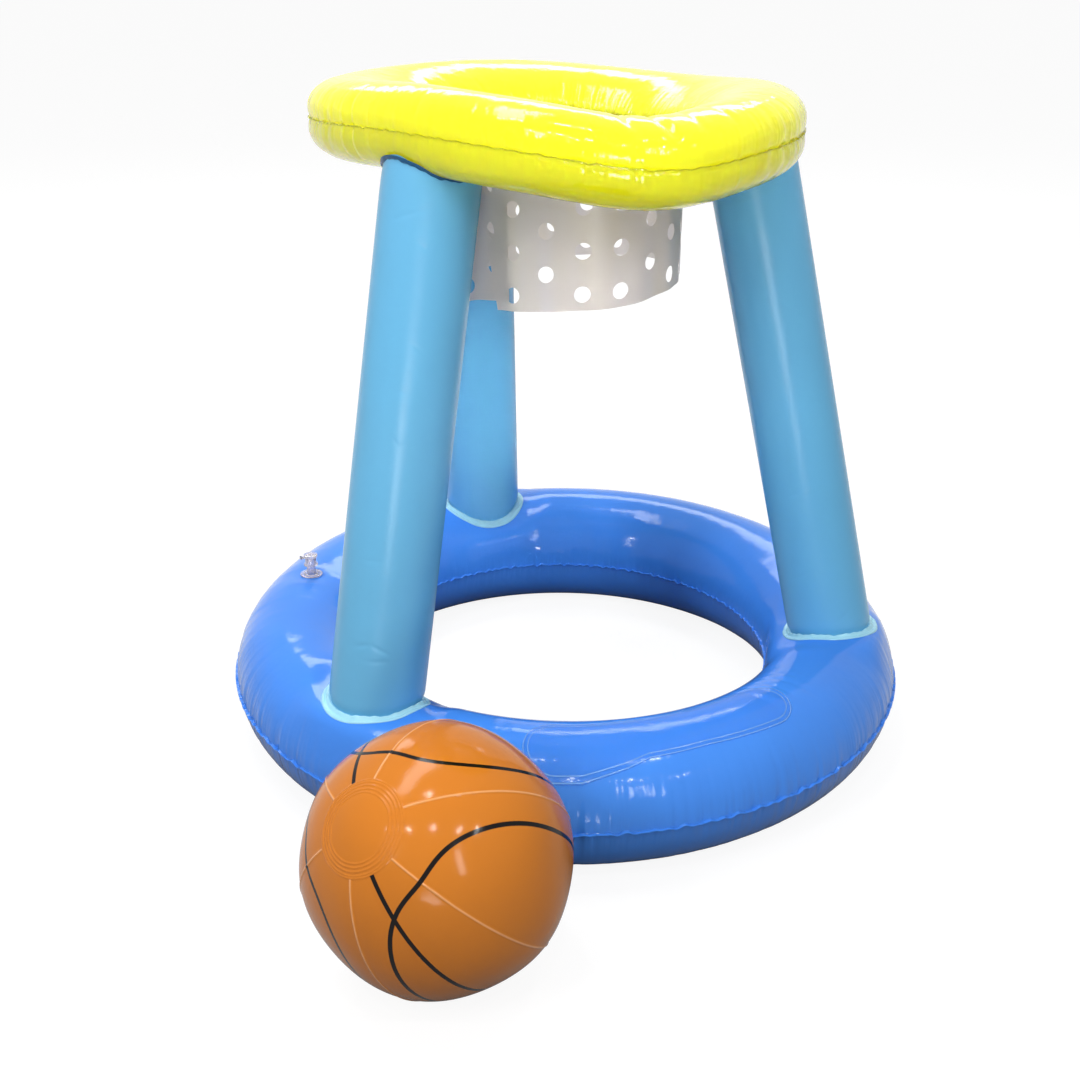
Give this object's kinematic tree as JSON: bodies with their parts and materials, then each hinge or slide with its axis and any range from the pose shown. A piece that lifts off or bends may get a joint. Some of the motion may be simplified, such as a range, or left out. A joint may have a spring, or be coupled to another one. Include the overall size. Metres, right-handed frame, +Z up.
{
  "type": "floating basketball hoop",
  "caption": "Inflatable pool basketball hoop: a ring base carries leaning legs and an open hoop with a perforated film net, with a small ball beside it.",
  "frame": {"origin": "on the level that the ring and the ball rest on, below the middle of the whole set", "axes": "+Z up; +Y from the ball at the front to the back of the ring; +X to the right"},
  "size_m": [0.73, 0.9448, 0.6949],
  "materials": {
    "ring_vinyl": "glossy blue vinyl film",
    "leg_vinyl": "satin light blue vinyl film with faint creases",
    "collar_vinyl": "pale cyan welded vinyl band",
    "hoop_vinyl": "glossy yellow vinyl film",
    "net_film": "milky translucent film with round holes",
    "window_vinyl": "clear welded film patch, bare",
    "valve_vinyl": "clear soft vinyl",
    "ball_vinyl": "glossy orange brown vinyl film with black lines"
  },
  "bodies": {
    "float": {"base_ring_top_skin": "ring_vinyl", "base_ring_bottom_skin": "ring_vinyl", "window_patch": "window_vinyl", "front_leg": "leg_vinyl", "right_leg": "leg_vinyl", "back_leg": "leg_vinyl", "front_leg_foot_collar": "collar_vinyl", "right_leg_foot_collar": "collar_vinyl", "back_leg_foot_collar": "collar_vinyl", "front_leg_top_collar": "collar_vinyl", "right_leg_top_collar": "collar_vinyl", "back_leg_top_collar": "collar_vinyl", "hoop_top_skin": "hoop_vinyl", "hoop_bottom_skin": "hoop_vinyl", "net": "net_film", "base_valve_flange": "valve_vinyl", "hoop_valve_flange": "valve_vinyl"},
    "base_stem": {"base_valve_stem": "valve_vinyl"},
    "base_stopper": {"base_valve_stopper": "valve_vinyl"},
    "base_flap": {"base_valve_flap": "valve_vinyl"},
    "hoop_stem": {"hoop_valve_stem": "valve_vinyl"},
    "hoop_stopper": {"hoop_valve_stopper": "valve_vinyl"},
    "hoop_flap": {"hoop_valve_flap": "valve_vinyl"},
    "ball": {"ball_gore_1": "ball_vinyl", "ball_gore_2": "ball_vinyl", "ball_gore_3": "ball_vinyl", "ball_gore_4": "ball_vinyl", "ball_gore_5": "ball_vinyl", "ball_gore_6": "ball_vinyl", "ball_front_disc": "ball_vinyl", "ball_valve_disc": "ball_vinyl", "ball_valve_flange": "valve_vinyl"},
    "ball_stem": {"ball_valve_stem": "valve_vinyl"},
    "ball_stopper": {"ball_valve_stopper": "valve_vinyl"},
    "ball_flap": {"ball_valve_flap": "valve_vinyl"}
  },
  "joints": [
    {"name": "base_valve_push", "type": "slide", "parent": "float", "child": "base_stem", "axis": [0, 0, 1], "range_m": [-0.019, 0]},
    {"name": "base_stopper_open", "type": "hinge", "parent": "base_stem", "child": "base_stopper", "pos_m": [-0.3002, 0.14975, 0.1531], "axis": [0.342, -0.9397, 0], "range_deg": [0, 150]},
    {"name": "base_flap_open", "type": "hinge", "parent": "base_stem", "child": "base_flap", "pos_m": [-0.29409, 0.15198, 0.1222], "axis": [-0.342, 0.9397, 0], "range_deg": [0, 60]},
    {"name": "hoop_valve_pull", "type": "slide", "parent": "float", "child": "hoop_stem", "axis": [-0.0505, -0.0254, -0.9984], "range_m": [0, 0.019]},
    {"name": "hoop_stopper_open", "type": "hinge", "parent": "hoop_stem", "child": "hoop_stopper", "pos_m": [0.0781, 0.26792, 0.59241], "axis": [-0.6186, -0.784, 0.0513], "range_deg": [0, 150]},
    {"name": "hoop_flap_open", "type": "hinge", "parent": "hoop_stem", "child": "hoop_flap", "pos_m": [0.07457, 0.27274, 0.62341], "axis": [0.6186, 0.784, -0.0513], "range_deg": [0, 60]},
    {"name": "ball_lift", "type": "slide", "parent": "float", "child": "ball", "axis": [0, 0, 1], "range_m": [0, 0.9]},
    {"name": "ball_valve_pull", "type": "slide", "parent": "ball", "child": "ball_stem", "axis": [0.4869, 0.5721, -0.66], "range_m": [0, 0.019]},
    {"name": "ball_stopper_open", "type": "hinge", "parent": "ball_stem", "child": "ball_stopper", "pos_m": [-0.04132, -0.2863, 0.04476], "axis": [0.7615, -0.6481, 0], "range_deg": [0, 150]},
    {"name": "ball_flap_open", "type": "hinge", "parent": "ball_stem", "child": "ball_flap", "pos_m": [-0.05914, -0.30725, 0.06027], "axis": [-0.7615, 0.6481, 0], "range_deg": [0, 60]}
  ]
}
